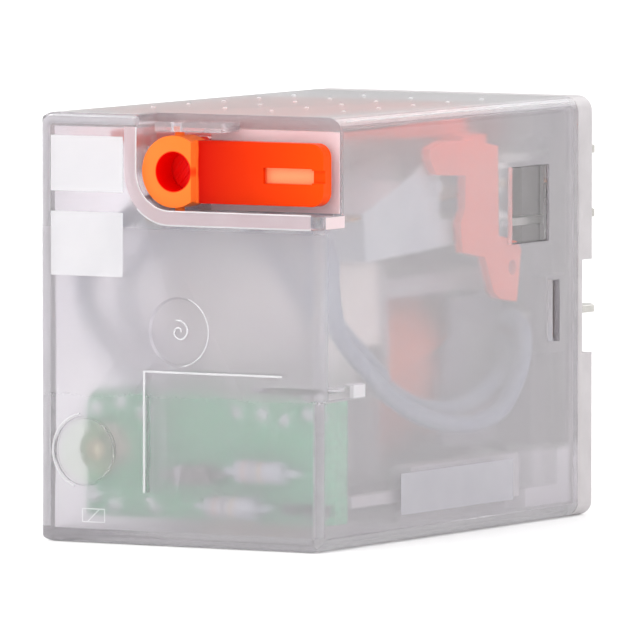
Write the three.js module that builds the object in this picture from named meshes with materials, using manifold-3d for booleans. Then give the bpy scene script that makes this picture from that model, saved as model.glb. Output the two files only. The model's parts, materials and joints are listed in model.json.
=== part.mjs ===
// A plug-in miniature control relay with four change-over poles, lying on one narrow side.
// Millimetres, +Z up. X is the body's narrow width, Y runs from the front face with the
// test lever (low Y) to the plug-in blades (high Y), and Z = 0 is the side it lies on.
// Most lengths along Y are given as a depth behind the front face.
import * as THREE from 'three';
import { mergeVertices } from 'three/addons/utils/BufferGeometryUtils.js';
import Module from 'manifold-3d';

const wasm = await Module();
wasm.setup();

// ---------------------------------------------------------------- driving dimensions

const BODY_WIDTH = 20.8;
const BODY_HEIGHT = 27.5;
const COVER_LENGTH = 33.7;
const BODY_LENGTH = 35.6;
const BLADE_PROJECTION = 6.0;
const WALL = 0.9;
const FIT = 0.15;          // clearance where the base plugs into the cover
const SEAT = 0.05;         // clearance round a piece held in a slot
const FRONT_Y = -(BODY_LENGTH + BLADE_PROJECTION) / 2;
const HALF_WIDTH = BODY_WIDTH / 2;
const INNER_HALF = HALF_WIDTH - WALL;
const LONG_EDGE_RADIUS = 1.0;
const FRONT_EDGE_RADIUS = 0.7;

// Contact system: four poles side by side, three rows of blades and a pair for the coil.
const POLES = [-6.6, -2.2, 2.2, 6.6];
const BLADE_WIDTH = 2.6;
const BLADE_THICKNESS = 0.5;
const NC_ROW = 23.7;
const NO_ROW = 19.5;
const COM_ROW = 13.2;
const COIL_ROW = 6.8;
const COIL_COLUMNS = [-2.2, 2.2];
const FIXED_BLADE_START = 27.0;
const FIXED_CONTACT_DEPTH = 28.2;
const CONTACT_RADIUS = 0.9;
const FIXED_CONTACT_HEIGHT = 0.5;
const SPRING_THICKNESS = 0.25;
const MOVING_CONTACT_HALF = 0.66;

// The armature turns about the front lower edge of the yoke. Its pieces are given as they
// stand when it is pulled in, and the whole group leans back by this angle at rest.
const ARMATURE_PIVOT = { depth: 12.0, z: 2.7 };
const ARMATURE_SWING = THREE.MathUtils.degToRad(3.6);

// Coil, along Y.
const COIL_AXIS_Z = 10.0;
const CORE_RADIUS = 2.2;
const COIL_RADIUS = 5.8;
const BOBBIN_FRONT = 12.9;
const BOBBIN_REAR = 27.1;
const FLANGE = 0.8;
const YOKE_HALF_WIDTH = 5.6;
const YOKE_THICKNESS = 1.4;
const YOKE_REAR = 28.6;
const WING_INNER = 6.25;
const WING_OUTER = 6.85;
const WING_BOTTOM = 5.3;
const WING_TOP = 15.0;
const WING_FRONT = 21.2;

// Test lever: an eye that turns about an upright axis in the corner pocket of the cover.
const LEVER = { x: -0.65, depth: 1.3, z: 23.9 };
const EYE_RADIUS = 2.3;
const EYE_HOLE_RADIUS = 1.26;
const EYE_FRONT = -0.85;
const CAM_BASE = 1.15;
const SLIDER_TRAVEL = 1.3;
const CAM_RISE = SLIDER_TRAVEL / (Math.PI / 2);
const POCKET_DEPTH = 2.7;
const POCKET_RADIUS = 2.55;
const TRUNNION_RADIUS = 0.32;
const TRUNNION_BORE = 0.4;
const POCKET_WALL_BOTTOM = LEVER.z - POCKET_RADIUS - WALL;

// ---------------------------------------------------------------- materials

const finish = (color, roughness, metalness = 0, opacity = 1) => new THREE.MeshStandardMaterial({
  color, roughness, metalness, opacity, transparent: opacity < 1,
});
const clearPlastic = finish(0xdcd9dc, 0.45, 0, 0.35);
const basePlastic = finish(0xd3cfd0, 0.5);
const whitePlastic = finish(0xdedad6, 0.5);
const creamPlastic = finish(0xe4dccb, 0.5);
const orangePlastic = finish(0xf4511e, 0.35);
const steel = finish(0x9b9894, 0.4, 0.9);
const springMetal = finish(0xb98f5e, 0.3, 0.95);
const tinned = finish(0xb9b7b2, 0.35, 0.9);
const silver = finish(0xd5d3cd, 0.25, 1);
const copperTape = finish(0xc9795c, 0.5);
const leadBlue = finish(0x9fa7b6, 0.5);
const boardGreen = finish(0x2f8f5b, 0.5);
const ledBody = finish(0xdfe8dc, 0.2);
const ceramic = finish(0x8d959c, 0.5);
const darkGlass = finish(0x33302e, 0.3);

// ---------------------------------------------------------------- shape helpers

const depthToY = (depth) => FRONT_Y + depth;

function toSolid(geometry) {
  const bare = geometry.clone();
  bare.deleteAttribute('normal');
  bare.deleteAttribute('uv');
  const merged = mergeVertices(bare, 1e-5);
  const vertProperties = new Float32Array(merged.attributes.position.array);
  const triVerts = new Uint32Array(merged.index.array);
  return new wasm.Manifold(new wasm.Mesh({ numProp: 3, vertProperties, triVerts }));
}

function toGeometry(solid) {
  const out = solid.getMesh();
  const geometry = new THREE.BufferGeometry();
  geometry.setAttribute('position', new THREE.BufferAttribute(new Float32Array(out.vertProperties), 3));
  geometry.setIndex(new THREE.BufferAttribute(new Uint32Array(out.triVerts), 1));
  return geometry;
}

function join(...geometries) {
  return toGeometry(geometries.map(toSolid).reduce((sum, next) => sum.add(next)));
}

function cut(body, ...tools) {
  return toGeometry(tools.map(toSolid).reduce((left, tool) => left.subtract(tool), toSolid(body)));
}

function meet(...geometries) {
  return toGeometry(geometries.map(toSolid).reduce((common, next) => common.intersect(next)));
}

// A box from its ranges in X, in depth behind the front face, and in Z.
function block([x0, x1], [d0, d1], [z0, z1]) {
  const box = new THREE.BoxGeometry(x1 - x0, d1 - d0, z1 - z0);
  return box.translate((x0 + x1) / 2, depthToY((d0 + d1) / 2), (z0 + z1) / 2);
}

// Round rods along each axis, from their centre line and the range they span.
function rodAlongX(radius, [x0, x1], depth, z, sides = 24) {
  const rod = new THREE.CylinderGeometry(radius, radius, x1 - x0, sides).rotateZ(Math.PI / 2);
  return rod.translate((x0 + x1) / 2, depthToY(depth), z);
}

function rodAlongY(radius, x, [d0, d1], z, sides = 24) {
  const rod = new THREE.CylinderGeometry(radius, radius, d1 - d0, sides);
  return rod.translate(x, depthToY((d0 + d1) / 2), z);
}

function rodAlongZ(radius, x, depth, [z0, z1], sides = 24) {
  const rod = new THREE.CylinderGeometry(radius, radius, z1 - z0, sides).rotateX(Math.PI / 2);
  return rod.translate(x, depthToY(depth), (z0 + z1) / 2);
}

const outline = (points) => new THREE.Shape(points.map(([u, v]) => new THREE.Vector2(u, v)));

const extrude = (shape, length, curveSegments = 6) => new THREE.ExtrudeGeometry(shape, {
  depth: length, bevelEnabled: false, curveSegments,
});

// Prisms: the outline is drawn in the plane across the named axis.
function prismAlongX(shape, [x0, x1]) {
  const turn = new THREE.Matrix4().makeBasis(
    new THREE.Vector3(0, 1, 0), new THREE.Vector3(0, 0, 1), new THREE.Vector3(1, 0, 0));
  return extrude(shape, x1 - x0).applyMatrix4(turn).translate(x0, FRONT_Y, 0);
}

function prismAlongY(shape, [d0, d1]) {
  return extrude(shape, d1 - d0).rotateX(Math.PI / 2).translate(0, depthToY(d1), 0);
}

function prismAlongZ(shape, [z0, z1]) {
  return extrude(shape, z1 - z0).translate(0, FRONT_Y, z0);
}

function roundedRectangle([u0, u1], [v0, v1], radius) {
  const shape = new THREE.Shape();
  shape.moveTo(u0 + radius, v0);
  shape.lineTo(u1 - radius, v0);
  shape.absarc(u1 - radius, v0 + radius, radius, -Math.PI / 2, 0, false);
  shape.lineTo(u1, v1 - radius);
  shape.absarc(u1 - radius, v1 - radius, radius, 0, Math.PI / 2, false);
  shape.lineTo(u0 + radius, v1);
  shape.absarc(u0 + radius, v1 - radius, radius, Math.PI / 2, Math.PI, false);
  shape.lineTo(u0, v0 + radius);
  shape.absarc(u0 + radius, v0 + radius, radius, Math.PI, 1.5 * Math.PI, false);
  return shape;
}

// A solid of revolution about a line along Y through the coil's centre, from (radius, depth).
function turnedAboutCoil(profile, segments = 40) {
  const points = profile.map(([radius, depth]) => new THREE.Vector2(radius, depth));
  return new THREE.LatheGeometry(points, segments).translate(0, FRONT_Y, COIL_AXIS_Z);
}

// A round lead along a smooth route of [x, depth, z] points.
function leadAlong(route, radius, steps, sides = 8) {
  const points = route.map(([x, depth, z]) => new THREE.Vector3(x, depthToY(depth), z));
  const section = [];
  for (let side = 0; side < sides; side += 1) {
    const angle = (side / sides) * 2 * Math.PI;
    section.push([radius * Math.cos(angle), radius * Math.sin(angle)]);
  }
  return new THREE.ExtrudeGeometry(outline(section), {
    steps, bevelEnabled: false, extrudePath: new THREE.CatmullRomCurve3(points, false, 'centripetal'),
  });
}

const relay = new THREE.Group();

function place(name, geometry, material, parent = relay) {
  const mesh = new THREE.Mesh(geometry, material);
  mesh.name = name;
  parent.add(mesh);
}

// ---------------------------------------------------------------- cover

// Outline of the lever's pocket in the front view: open to the top and to the +X side,
// with its lower left corner struck round the lever's eye.
function pocketOutline(radius) {
  const beyond = 2;
  const shape = new THREE.Shape();
  shape.moveTo(HALF_WIDTH + beyond, LEVER.z - radius);
  shape.lineTo(HALF_WIDTH + beyond, BODY_HEIGHT + beyond);
  shape.lineTo(LEVER.x - radius, BODY_HEIGHT + beyond);
  shape.lineTo(LEVER.x - radius, LEVER.z);
  shape.absarc(LEVER.x, LEVER.z, radius, Math.PI, 1.5 * Math.PI, false);
  return shape;
}

function coverOuter() {
  const past = 2;
  const longEdges = roundedRectangle([-HALF_WIDTH, HALF_WIDTH], [0, BODY_HEIGHT], LONG_EDGE_RADIUS);
  const plan = roundedRectangle([-HALF_WIDTH, HALF_WIDTH], [0, COVER_LENGTH + past], FRONT_EDGE_RADIUS);
  const side = roundedRectangle([0, COVER_LENGTH + past], [0, BODY_HEIGHT], FRONT_EDGE_RADIUS);
  return meet(
    prismAlongY(longEdges, [0, COVER_LENGTH]),
    prismAlongZ(plan, [-1, BODY_HEIGHT + 1]),
    prismAlongX(side, [-HALF_WIDTH - 1, HALF_WIDTH + 1]),
  );
}

const POCKET_OPENING = { left: -2.45, right: 1.35, half: 2.15, radius: 2.45 };
const LATCH_SLOT = { depth: [30.3, 31.25], z: [11.7, 15.7] };

// Window in the pocket floor that the eye's cam and the slider's pad pass through.
function pocketFloorOpening() {
  return meet(
    rodAlongY(POCKET_OPENING.radius, LEVER.x, [1, 5], LEVER.z, 40),
    block(
      [LEVER.x + POCKET_OPENING.left - 1, LEVER.x + POCKET_OPENING.right],
      [1, 5],
      [LEVER.z - POCKET_OPENING.half, LEVER.z + POCKET_OPENING.half],
    ),
  );
}

// Shelf over the circuit board with its side rail, and two stiffening ribs.
function coverRibs() {
  return [
    block([5.0, INNER_HALF + SEAT], [WALL - SEAT, 4.2], [10.05, 10.4]),
    block([8.8, INNER_HALF + SEAT], [WALL - SEAT, 6.4], [9.6, 10.4]),
    block([-2.7, -2.4], [WALL - SEAT, 2.7], [3.4, 11.0]),
    block([-2.7, 7.6], [WALL - SEAT, 1.5], [11.0, 11.3]),
  ];
}

function makeCover() {
  const outer = coverOuter();
  const hollow = block([-INNER_HALF, INNER_HALF], [WALL, COVER_LENGTH + 1], [WALL, BODY_HEIGHT - WALL]);
  const pocketWalls = meet(
    outer,
    prismAlongY(pocketOutline(POCKET_RADIUS + WALL), [-1, POCKET_DEPTH + WALL]),
  );
  const upperBearing = block([LEVER.x - 1.3, LEVER.x + 3.6], [0.35, POCKET_DEPTH + SEAT], [26.45, 27.05]);
  const pocket = prismAlongY(pocketOutline(POCKET_RADIUS), [-1, POCKET_DEPTH]);
  const shell = cut(join(cut(outer, hollow), pocketWalls), pocket);
  const latchSlot = block([-HALF_WIDTH - 1, HALF_WIDTH + 1], LATCH_SLOT.depth, LATCH_SLOT.z);
  const trunnionBores = rodAlongZ(
    TRUNNION_BORE, LEVER.x, LEVER.depth, [POCKET_WALL_BOTTOM + 0.1, BODY_HEIGHT + 1],
  );
  return cut(join(shell, upperBearing, ...coverRibs()), pocketFloorOpening(), latchSlot, trunnionBores);
}

// ---------------------------------------------------------------- base

const PLUG_FRONT = 30.4;
const PLUG_CORE_HALF = 8.3;
const RIM_FRONT = 32.9;
const FLANGE_START = COVER_LENGTH + SEAT;
const RECESS = { depth: 34.3, z: [10.7, 16.8] };

function bladeSlots() {
  const rows = [NC_ROW, NO_ROW, COM_ROW].flatMap((z) => POLES.map((x) => [x, z]));
  const coil = COIL_COLUMNS.map((x) => [x, COIL_ROW]);
  const halfWidth = BLADE_WIDTH / 2 + SEAT;
  const halfThickness = BLADE_THICKNESS / 2 + SEAT;
  return [...rows, ...coil].map(([x, z]) => block(
    [x - halfWidth, x + halfWidth], [PLUG_FRONT - 1, BODY_LENGTH + 1], [z - halfThickness, z + halfThickness],
  ));
}

// Snap tab on one side, with a lead-in slope towards the cover.
function latchTab(side) {
  const points = [[9.0, 30.45], [9.35, 30.45], [10.1, 30.85], [10.1, 31.1], [9.0, 31.1]];
  const slope = side > 0 ? points : points.map(([x, depth]) => [-x, depth]).reverse();
  return prismAlongZ(outline(slope), [11.9, 15.5]);
}

function poleBarriers() {
  return [-4.4, 0, 4.4].map((x) => block([x - 0.25, x + 0.25], [26.6, PLUG_FRONT + SEAT], [17.6, 25.2]));
}

function makeBase() {
  const edge = roundedRectangle([-HALF_WIDTH, HALF_WIDTH], [0, BODY_HEIGHT], LONG_EDGE_RADIUS);
  const flange = prismAlongY(edge, [FLANGE_START, BODY_LENGTH]);
  const rimHalf = INNER_HALF - FIT;
  const height = [WALL + FIT, BODY_HEIGHT - WALL - FIT];
  const root = FLANGE_START + SEAT;
  const plug = block([-PLUG_CORE_HALF, PLUG_CORE_HALF], [PLUG_FRONT, root], height);
  const rim = block([-rimHalf, rimHalf], [RIM_FRONT, root], height);
  const latchLegs = block([-rimHalf, rimHalf], [PLUG_FRONT, root], [10.9, 16.0]);
  const foot = block([-rimHalf, rimHalf], [31.8, root], [height[0], 4.7]);
  const recess = block([-HALF_WIDTH - 1, HALF_WIDTH + 1], [RECESS.depth, BODY_LENGTH + 1], RECESS.z);
  const rails = [1, -1].map((side) => block(
    side > 0 ? [7.2, rimHalf] : [-rimHalf, -7.2], [27.6, 31.8 + SEAT], [WALL + FIT, 2.3],
  ));
  const body = join(
    flange, plug, rim, latchLegs, foot, latchTab(1), latchTab(-1), ...poleBarriers(), ...rails,
  );
  return cut(body, recess, ...bladeSlots());
}

// ---------------------------------------------------------------- blades and fixed contacts

// A flat blade lying across Z, with a tapered tip at the plug-in end.
function makeBlade(x, z, start) {
  const half = BLADE_WIDTH / 2;
  const end = BODY_LENGTH + BLADE_PROJECTION;
  const tip = 0.5;
  const taper = 1.1;
  const plan = outline([
    [x - half, start], [x + half, start], [x + half, end - taper],
    [x + tip, end], [x - tip, end], [x - half, end - taper],
  ]);
  return prismAlongZ(plan, [z - BLADE_THICKNESS / 2, z + BLADE_THICKNESS / 2]);
}

function makeContactBlade(x, z) {
  return cut(
    makeBlade(x, z, FIXED_BLADE_START),
    rodAlongZ(CONTACT_RADIUS * 0.5 + SEAT, x, FIXED_CONTACT_DEPTH, [z - 1, z + 1], 20),
  );
}

// Rivet whose head faces the moving contact: side is -1 below the blade, +1 above it.
function makeFixedContact(x, row, side) {
  const face = row + side * (BLADE_THICKNESS / 2 + 0.02);
  const top = face + side * (FIXED_CONTACT_HEIGHT - 0.02);
  const tail = row - side * (BLADE_THICKNESS / 2);
  const ordered = (a, b) => [Math.min(a, b), Math.max(a, b)];
  return join(
    rodAlongZ(CONTACT_RADIUS, x, FIXED_CONTACT_DEPTH, ordered(face, top), 20),
    rodAlongZ(CONTACT_RADIUS * 0.5, x, FIXED_CONTACT_DEPTH, ordered(tail, top), 20),
  );
}

// ---------------------------------------------------------------- magnet

// Bent yoke: a leg under the coil, an upright behind it and a thin wing along each side.
function makeYoke() {
  const bottom = block([-YOKE_HALF_WIDTH, YOKE_HALF_WIDTH], [12.15, YOKE_REAR], [2.0, 2.0 + YOKE_THICKNESS]);
  const behind = [YOKE_REAR - YOKE_THICKNESS, YOKE_REAR];
  const neck = block([-YOKE_HALF_WIDTH, YOKE_HALF_WIDTH], behind, [2.0, WING_BOTTOM + SEAT]);
  const upright = block([-WING_OUTER, WING_OUTER], behind, [WING_BOTTOM, WING_TOP]);
  const wings = [1, -1].map((side) => block(
    side > 0 ? [WING_INNER, WING_OUTER] : [-WING_OUTER, -WING_INNER],
    [WING_FRONT, YOKE_REAR - 0.1], [WING_BOTTOM, WING_TOP],
  ));
  return cut(join(bottom, neck, upright, ...wings), rodAlongY(1.6, 0, [26, 30], COIL_AXIS_Z, 32));
}

// Pole shoe, core and the shank that is riveted into the yoke's upright.
const makeCore = () => turnedAboutCoil([
  [0, 12.0], [3.6, 12.0], [3.6, 12.8], [CORE_RADIUS, 12.8], [CORE_RADIUS, 27.15],
  [1.5, 27.15], [1.5, 28.65], [2.1, 28.65], [1.7, 29.1], [0, 29.1],
]);

function makeBobbin() {
  const plate = (d0) => block([-6.2, 6.2], [d0, d0 + FLANGE], [3.7, 16.5]);
  const ears = [1, -1].map((side) => block(
    side > 0 ? [5.25, 6.15] : [-6.15, -5.25], [8.6, BOBBIN_FRONT + FLANGE], [12.4, 17.7],
  ));
  const shield = block([-6.2, 6.2], [BOBBIN_FRONT, BOBBIN_REAR], [15.95, 16.6]);
  const lips = [1, -1].map((side) => block(
    side > 0 ? [5.6, 6.2] : [-6.2, -5.6], [BOBBIN_FRONT, BOBBIN_REAR], [15.3, 16.0],
  ));
  const tube = rodAlongY(2.85, 0, [BOBBIN_FRONT, BOBBIN_REAR], COIL_AXIS_Z, 32);
  const bore = rodAlongY(CORE_RADIUS + SEAT, 0, [10, 30], COIL_AXIS_Z, 40);
  const body = join(plate(BOBBIN_FRONT), plate(BOBBIN_REAR - FLANGE), tube, shield, ...lips, ...ears);
  return cut(body, bore);
}

function makeWinding() {
  const front = BOBBIN_FRONT + FLANGE + SEAT;
  const rear = BOBBIN_REAR - FLANGE - SEAT;
  const inner = 2.95;
  return turnedAboutCoil([
    [inner, front], [COIL_RADIUS, front], [COIL_RADIUS, rear], [inner, rear], [inner, front],
  ]);
}

// Moulded tray that the yoke stands in, with a bar along each side wall and an arm ahead of it.
function makeCradle() {
  const span = [12.9, 27.1];
  const floor = block([-8.2, 8.2], span, [1.05, 1.9]);
  const sides = [1, -1].flatMap((side) => {
    const across = (near, far) => (side > 0 ? [near, far] : [-far, -near]);
    return [
      block(across(7.7, 9.2), span, [1.8, 4.7]),
      block(across(8.3, 9.2), [5.2, span[0] + SEAT], [2.5, 3.3]),
    ];
  });
  return join(floor, ...sides);
}

// Bent strip under the yoke's front edge that keeps the foot of the armature in place.
function makeRetainer() {
  const strip = 0.25;
  return join(
    block([-3.5, 3.5], [9.8, 12.6], [1.1, 1.1 + strip]),
    block([-3.5, 3.5], [9.8, 9.8 + strip], [1.1, 3.4]),
  );
}

class Helix extends THREE.Curve {
  constructor(radius, turns, [d0, d1], x, z) {
    super();
    Object.assign(this, { radius, turns, d0, d1, x, z });
  }

  getPoint(t, target = new THREE.Vector3()) {
    const angle = 2 * Math.PI * this.turns * t;
    return target.set(
      this.x + this.radius * Math.cos(angle),
      depthToY(this.d0 + (this.d1 - this.d0) * t),
      this.z + this.radius * Math.sin(angle),
    );
  }
}

function makeReturnSpring() {
  const wire = 0.14;
  const section = [0, 60, 120, 180, 240, 300].map((degrees) => {
    const angle = THREE.MathUtils.degToRad(degrees);
    return [wire * Math.cos(angle), wire * Math.sin(angle)];
  });
  return new THREE.ExtrudeGeometry(outline(section), {
    steps: 48, bevelEnabled: false, extrudePath: new Helix(0.8, 3, [11.35, 12.7], 0, 15.1),
  });
}

// ---------------------------------------------------------------- armature and moving contacts

const MOVING_PLANE = 21.04;
const MOVING_CONTACT_DEPTH = 28.9;

const makeArmaturePlate = () => block([-5.0, 5.0], [10.72, 11.92], [1.7, 20.9]);

// Side view of the moulded card, as [depth, z]: it rises towards the rear and ends in a foot.
const CARRIER_OUTLINE = [
  [9.2, 18.2], [13.2, 18.1], [22.4, 18.0], [22.4, 19.4], [19.1, 19.9], [19.3, 22.8], [19.0, 23.7],
  [18.0, 23.8], [14.2, 22.6], [9.2, 21.3],
];

// Moulded card on the armature that holds the four contact springs. The slider pushes its lug.
function makeCarrier() {
  const card = prismAlongX(outline(CARRIER_OUTLINE), [-8.2, 8.2]);
  const lug = block([-1.8, 0.6], [9.2, 15.0], [18.6, 24.3]);
  const plateSlot = block([-5.1, 5.1], [10.62, 12.02], [18, 21.0]);
  const slotHeight = [MOVING_PLANE - 0.2, MOVING_PLANE + 0.2];
  const springSlots = POLES.map((x) => block([x - 1.4, x + 1.4], [8, 22], slotHeight));
  const topChannels = POLES.map((x) => block([x - 1.5, x + 1.5], [14.6, 21], [22.0, 25]));
  const pegs = rodAlongX(0.45, [-8.45, 8.45], 18.8, 22.0, 16);
  return cut(join(card, lug, pegs), plateSlot, ...springSlots, ...topChannels);
}

function makeMovingSpring(x) {
  const halfTail = 1.3;
  const halfTip = 1.05;
  const plan = outline([
    [x - halfTail, 7.9], [x + halfTail, 7.9], [x + halfTail, 24.5], [x + halfTip, 26.5], [x + halfTip, 29.4],
    [x + halfTip - 0.4, 29.8], [x - halfTip + 0.4, 29.8], [x - halfTip, 29.4], [x - halfTip, 26.5],
    [x - halfTail, 24.5],
  ]);
  const half = SPRING_THICKNESS / 2;
  return cut(
    prismAlongZ(plan, [MOVING_PLANE - half, MOVING_PLANE + half]),
    rodAlongZ(0.5, x, MOVING_CONTACT_DEPTH, [MOVING_PLANE - 1, MOVING_PLANE + 1], 20),
  );
}

function makeMovingContact(x) {
  const head = SPRING_THICKNESS / 2 + 0.03;
  const rod = (radius, z0, z1) => rodAlongZ(
    radius, x, MOVING_CONTACT_DEPTH, [MOVING_PLANE + z0, MOVING_PLANE + z1], 20,
  );
  return join(
    rod(0.8, head, MOVING_CONTACT_HALF),
    rod(0.8, -MOVING_CONTACT_HALF, -head),
    rod(0.44, -MOVING_CONTACT_HALF, MOVING_CONTACT_HALF),
  );
}

// ---------------------------------------------------------------- leads

// Insulated leads from the tails of the moving springs round the coil to the middle row.
// Each route is [distance from the middle plane, depth, height].
const OUTER_LEAD = [
  [6.6, 6.55, 20.75], [7.1, 5.3, 20.1], [8.3, 3.9, 18.6], [8.85, 3.1, 16.6], [8.85, 4.0, 13.8],
  [8.85, 7.6, 11.0], [8.85, 11.0, 9.2], [8.85, 14.5, 7.9], [8.85, 18.4, 7.1], [8.85, 22.4, 6.95],
  [8.85, 25.7, 7.9], [8.75, 28.2, 10.8], [7.9, 29.3, 12.9], [6.8, 29.45, 13.4],
];
const INNER_LEAD = [
  [2.2, 6.55, 20.75], [2.9, 5.5, 20.2], [4.6, 4.6, 18.8], [6.5, 4.6, 16.6], [7.4, 6.0, 14.0],
  [7.55, 9.2, 11.7], [7.55, 13.0, 9.5], [7.55, 17.0, 8.2], [7.55, 21.4, 7.9], [7.55, 25.2, 8.7],
  [7.5, 28.3, 10.2], [6.9, 29.45, 11.2], [5.0, 29.5, 12.2], [2.4, 29.45, 13.1],
];
const COIL_LEAD = [
  [6.5, 5.1, 2.7], [6.5, 9.0, 2.7], [6.6, 14.0, 2.7], [6.6, 20.0, 2.7], [6.7, 25.0, 2.9],
  [7.2, 28.0, 3.6], [6.4, 29.45, 4.8], [4.6, 29.5, 6.2], [2.4, 29.5, 6.7],
];

const mirrored = (route, side) => route.map(([x, depth, z]) => [side * x, depth, z]);

// ---------------------------------------------------------------- indicator board

const BOARD = { x: [-8.4, 9.2], depth: [3.1, 4.7], z: [1.6, 9.5] };

function makeLed() {
  const dome = [];
  const steps = 6;
  for (let step = 0; step <= steps; step += 1) {
    const angle = (step / steps) * (Math.PI / 2);
    dome.push(new THREE.Vector2(1.45 * Math.sin(angle), -0.95 * Math.cos(angle)));
  }
  dome.push(new THREE.Vector2(1.45, 0.5), new THREE.Vector2(1.75, 0.5), new THREE.Vector2(1.75, 0.85));
  dome.push(new THREE.Vector2(0, 0.85));
  return new THREE.LatheGeometry(dome, 24).translate(-6.9, depthToY(2.2), 5.9);
}

// Axial part lying along X in front of the board, its two wires bent back onto the board.
function makeAxialPart(x, z, length, radius) {
  const standoff = 2.15;
  const wire = 0.22;
  const reach = length / 2 + 0.7;
  const wires = [-1, 1].map((side) => block(
    [x + side * reach - wire, x + side * reach + wire],
    [standoff - wire, BOARD.depth[0] - 0.1],
    [z - wire, z + wire],
  ));
  const axle = rodAlongX(wire, [x - reach, x + reach], standoff, z, 12);
  const body = rodAlongX(radius, [x - length / 2, x + length / 2], standoff, z, 20);
  return join(body, axle, ...wires);
}

// ---------------------------------------------------------------- test lever and slider

// Cam outline round the lever's axis, as [x, y] with +y towards the slider. The curve is an
// involute, so the slider moves by the same amount for every degree that the lever turns.
function camOutline() {
  const points = [[-EYE_RADIUS - 0.2, EYE_FRONT], [1.3, EYE_FRONT], [1.3, CAM_BASE]];
  const steps = 14;
  for (let step = 0; step <= steps; step += 1) {
    const angle = (step / steps) * (Math.PI / 2);
    const reach = CAM_BASE + CAM_RISE * angle;
    points.push([
      -reach * Math.sin(angle) - CAM_RISE * Math.cos(angle),
      reach * Math.cos(angle) - CAM_RISE * Math.sin(angle),
    ]);
  }
  return outline(points.map(([x, y]) => [LEVER.x + x, LEVER.depth + y]));
}

const TAB = { depth: [1.1, 2.1], z: [21.9, 25.9], end: 10.0, cornerRadius: 0.9 };

function tabOutline() {
  const shape = new THREE.Shape();
  const r = TAB.cornerRadius;
  shape.moveTo(LEVER.x + 0.6, TAB.z[0]);
  shape.lineTo(TAB.end - r, TAB.z[0]);
  shape.absarc(TAB.end - r, TAB.z[0] + r, r, -Math.PI / 2, 0, false);
  shape.lineTo(TAB.end, TAB.z[1] - r);
  shape.absarc(TAB.end - r, TAB.z[1] - r, r, 0, Math.PI / 2, false);
  shape.lineTo(LEVER.x + 0.6, TAB.z[1]);
  return shape;
}

function makeLever() {
  const eye = meet(
    prismAlongZ(camOutline(), [LEVER.z - 3, LEVER.z + 3]),
    rodAlongY(EYE_RADIUS, LEVER.x, [-2, 6], LEVER.z, 48),
  );
  const tab = prismAlongY(tabOutline(), TAB.depth);
  const lowerPin = rodAlongZ(TRUNNION_RADIUS, LEVER.x, LEVER.depth, [21.0, 22.2], 20);
  const upperPin = rodAlongZ(TRUNNION_RADIUS, LEVER.x, LEVER.depth, [25.6, 26.75], 20);
  const hole = rodAlongY(EYE_HOLE_RADIUS, LEVER.x, [-2, 6], LEVER.z, 32);
  const grip = block([5.6, 9.15], [0, 1.55], [23.3, 24.3]);
  const channel = block([9.0, 11], [0, 1.35], [23.4, 24.2]);
  return cut(join(eye, tab, lowerPin, upperPin), hole, grip, channel);
}

// Outline of the slider's arm in the side view, as [depth, z].
const ARM_OUTLINE = [
  [16.8, 25.3], [21.0, 25.2], [24.1, 24.7], [24.2, 18.9], [25.2, 18.7], [26.8, 18.4], [27.2, 17.8],
  [27.0, 16.8], [26.6, 14.5], [24.3, 14.8], [23.5, 15.3], [22.9, 16.5], [22.3, 17.6], [19.4, 18.05],
  [19.1, 20.0], [19.7, 20.8], [19.8, 23.0], [16.0, 23.2], [15.2, 24.2], [15.2, 24.9],
];
const ARM_X = [8.6, 9.25];
const ARM_HOLE = { depth: 26.0, z: 16.75, radius: 0.5 };

// Outline of its plate in the plan view, as [x, depth]: wide under the top wall, with a tongue
// at the front for the pad and a shoulder at the rear for the arm.
const TOP_PLATE_OUTLINE = [
  [-2.6, 3.8], [1.4, 3.8], [1.4, 4.6], [5.0, 4.6], [5.0, 14.4], [7.2, 16.6], [7.2, 23.6], [3.0, 23.6],
  [-7.4, 21.4], [-7.4, 4.6], [-2.6, 4.6],
];

function makeSlider() {
  const padFront = LEVER.depth + CAM_BASE + SEAT;
  const pad = meet(
    rodAlongY(EYE_RADIUS, LEVER.x, [padFront, 4.2], LEVER.z, 48),
    block([LEVER.x - 3, LEVER.x + 1.2], [2, 5], [LEVER.z - 2.0, LEVER.z + 2.0]),
  );
  const web = block([-2.6, 1.2], [3.8, 4.6], [22.0, 26.2]);
  const stem = block([-1.6, 0.4], [4.2, 7.78], [22.6, 24.0]);
  const topPlate = prismAlongZ(outline(TOP_PLATE_OUTLINE), [25.4, 26.2]);
  const arm = cut(
    prismAlongX(outline([...ARM_OUTLINE].reverse()), ARM_X),
    rodAlongX(ARM_HOLE.radius, [ARM_X[0] - 1, ARM_X[1] + 1], ARM_HOLE.depth, ARM_HOLE.z, 20),
  );
  const shoulder = block([6.6, ARM_X[0] + SEAT], [20.4, 23.6], [24.2, 25.4 + SEAT]);
  return join(pad, web, stem, topPlate, shoulder, arm);
}

// ---------------------------------------------------------------- assembly

place('cover', makeCover(), clearPlastic);
place('base', makeBase(), basePlastic);

POLES.forEach((x, index) => {
  const pole = index + 1;
  place(`nc_blade_${pole}`, makeContactBlade(x, NC_ROW), tinned);
  place(`nc_contact_${pole}`, makeFixedContact(x, NC_ROW, -1), silver);
  place(`no_blade_${pole}`, makeContactBlade(x, NO_ROW), tinned);
  place(`no_contact_${pole}`, makeFixedContact(x, NO_ROW, 1), silver);
  place(`com_blade_${pole}`, makeBlade(x, COM_ROW, PLUG_FRONT - 0.2), tinned);
});
COIL_COLUMNS.forEach((x, index) => {
  place(`coil_blade_${index + 1}`, makeBlade(x, COIL_ROW, PLUG_FRONT - 0.2), tinned);
});

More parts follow.
